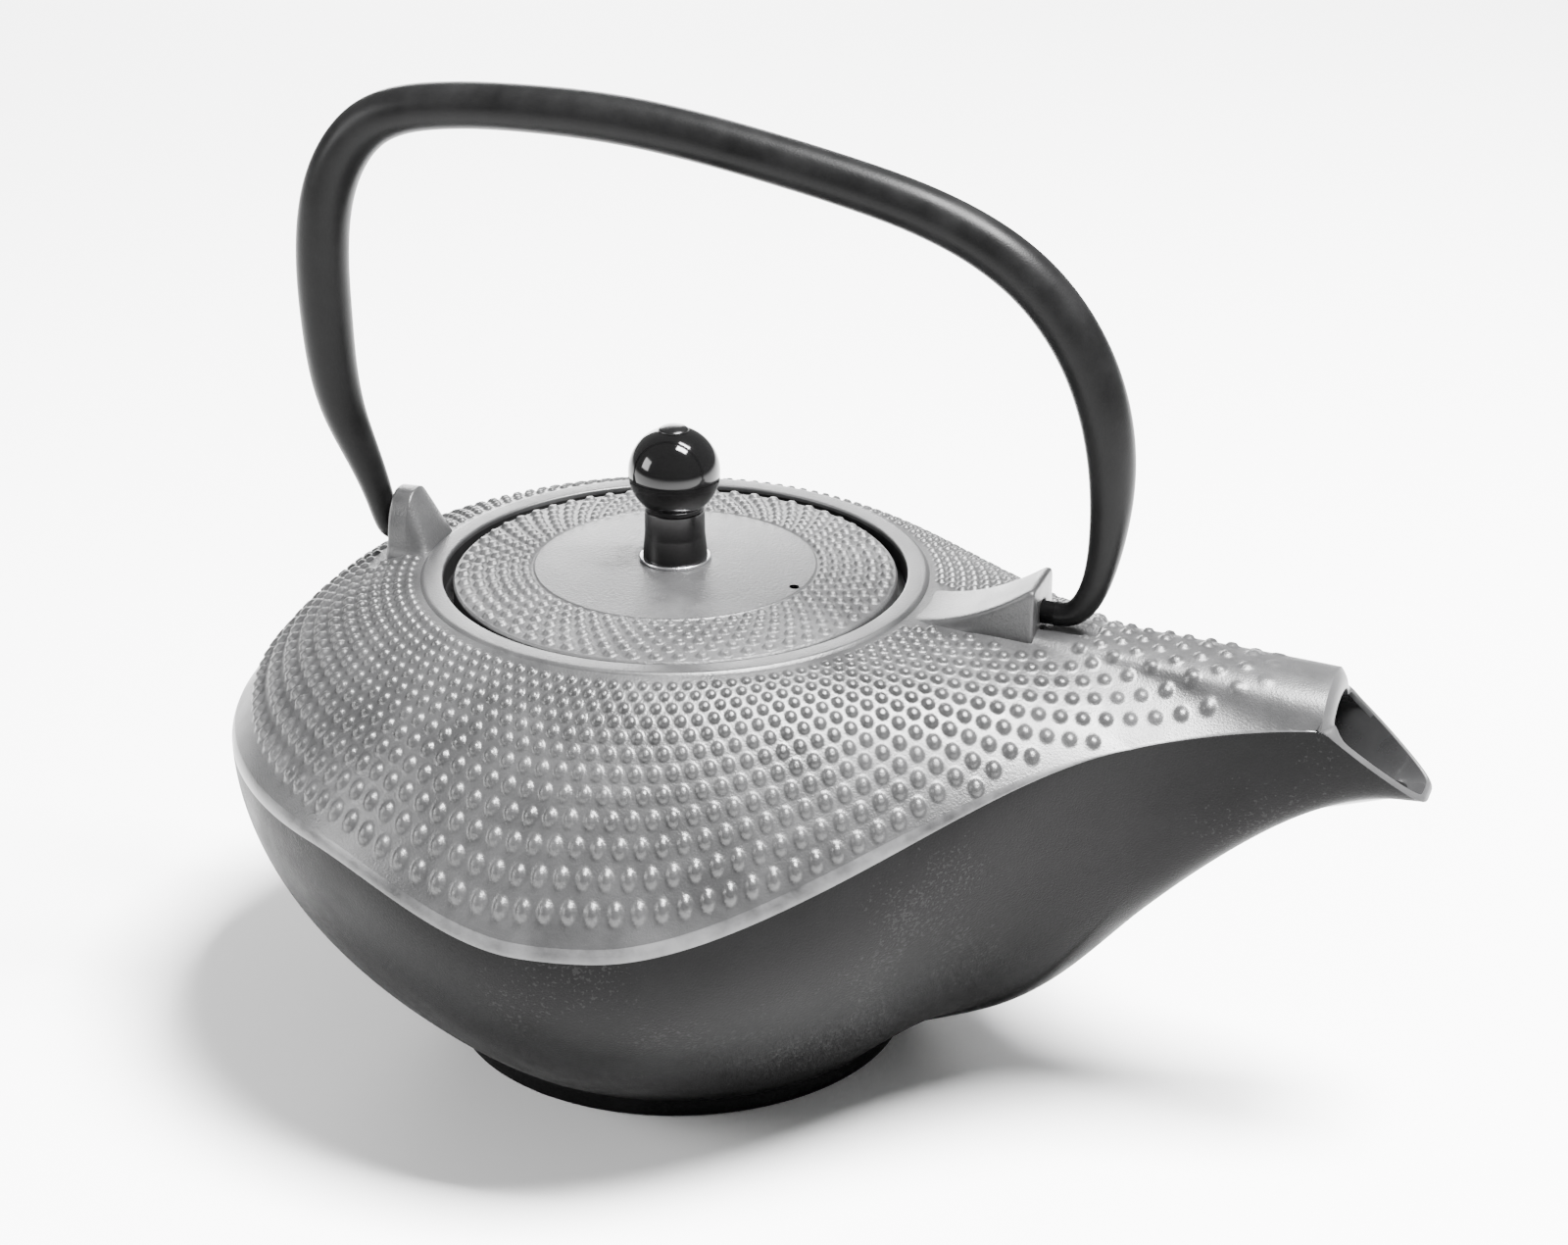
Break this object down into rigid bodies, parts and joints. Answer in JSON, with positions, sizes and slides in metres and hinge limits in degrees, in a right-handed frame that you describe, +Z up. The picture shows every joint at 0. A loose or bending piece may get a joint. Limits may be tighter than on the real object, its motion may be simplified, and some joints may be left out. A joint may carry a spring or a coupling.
{
  "type": "cast iron teapot",
  "caption": "Low cast iron teapot with a studded upper shell, long pouring spout, swinging bail handle, knobbed lid and lift-out infuser.",
  "frame": {"origin": "middle of the base's underside, on the vertical axis of the lid", "axes": "+Z up, +X towards the spout, +Y across the pot"},
  "size_m": [0.2145, 0.1538, 0.1725],
  "materials": {
    "cast_iron": "matte black coating, glossy enamel inside",
    "dark_polished": "gloss black",
    "bright_steel": "polished",
    "stainless": "brushed"
  },
  "bodies": {
    "pot": {"body": "cast_iron"},
    "bail": {"handle": "cast_iron"},
    "infuser": {"infuser_rim": "stainless", "infuser_mesh": "stainless", "infuser_hoop": "stainless", "infuser_floor": "stainless"},
    "lid_and_knob": {"lid": "cast_iron", "knob_collar": "bright_steel", "knob_stem": "dark_polished", "knob_ball": "dark_polished", "knob_rivet": "dark_polished", "knob_washer": "stainless"}
  },
  "joints": [
    {"name": "handle_swing", "type": "hinge", "parent": "pot", "child": "bail", "pos_m": [0.007, 0, 0.088], "axis": [1, 0, 0], "range_deg": [-80, 80]},
    {"name": "infuser_lift", "type": "slide", "parent": "pot", "child": "infuser", "axis": [0, 0, 1], "range_m": [0, 0.044]},
    {"name": "lid_lift", "type": "slide", "parent": "infuser", "child": "lid_and_knob", "axis": [0, 0, 1], "range_m": [0, 0.044]}
  ]
}
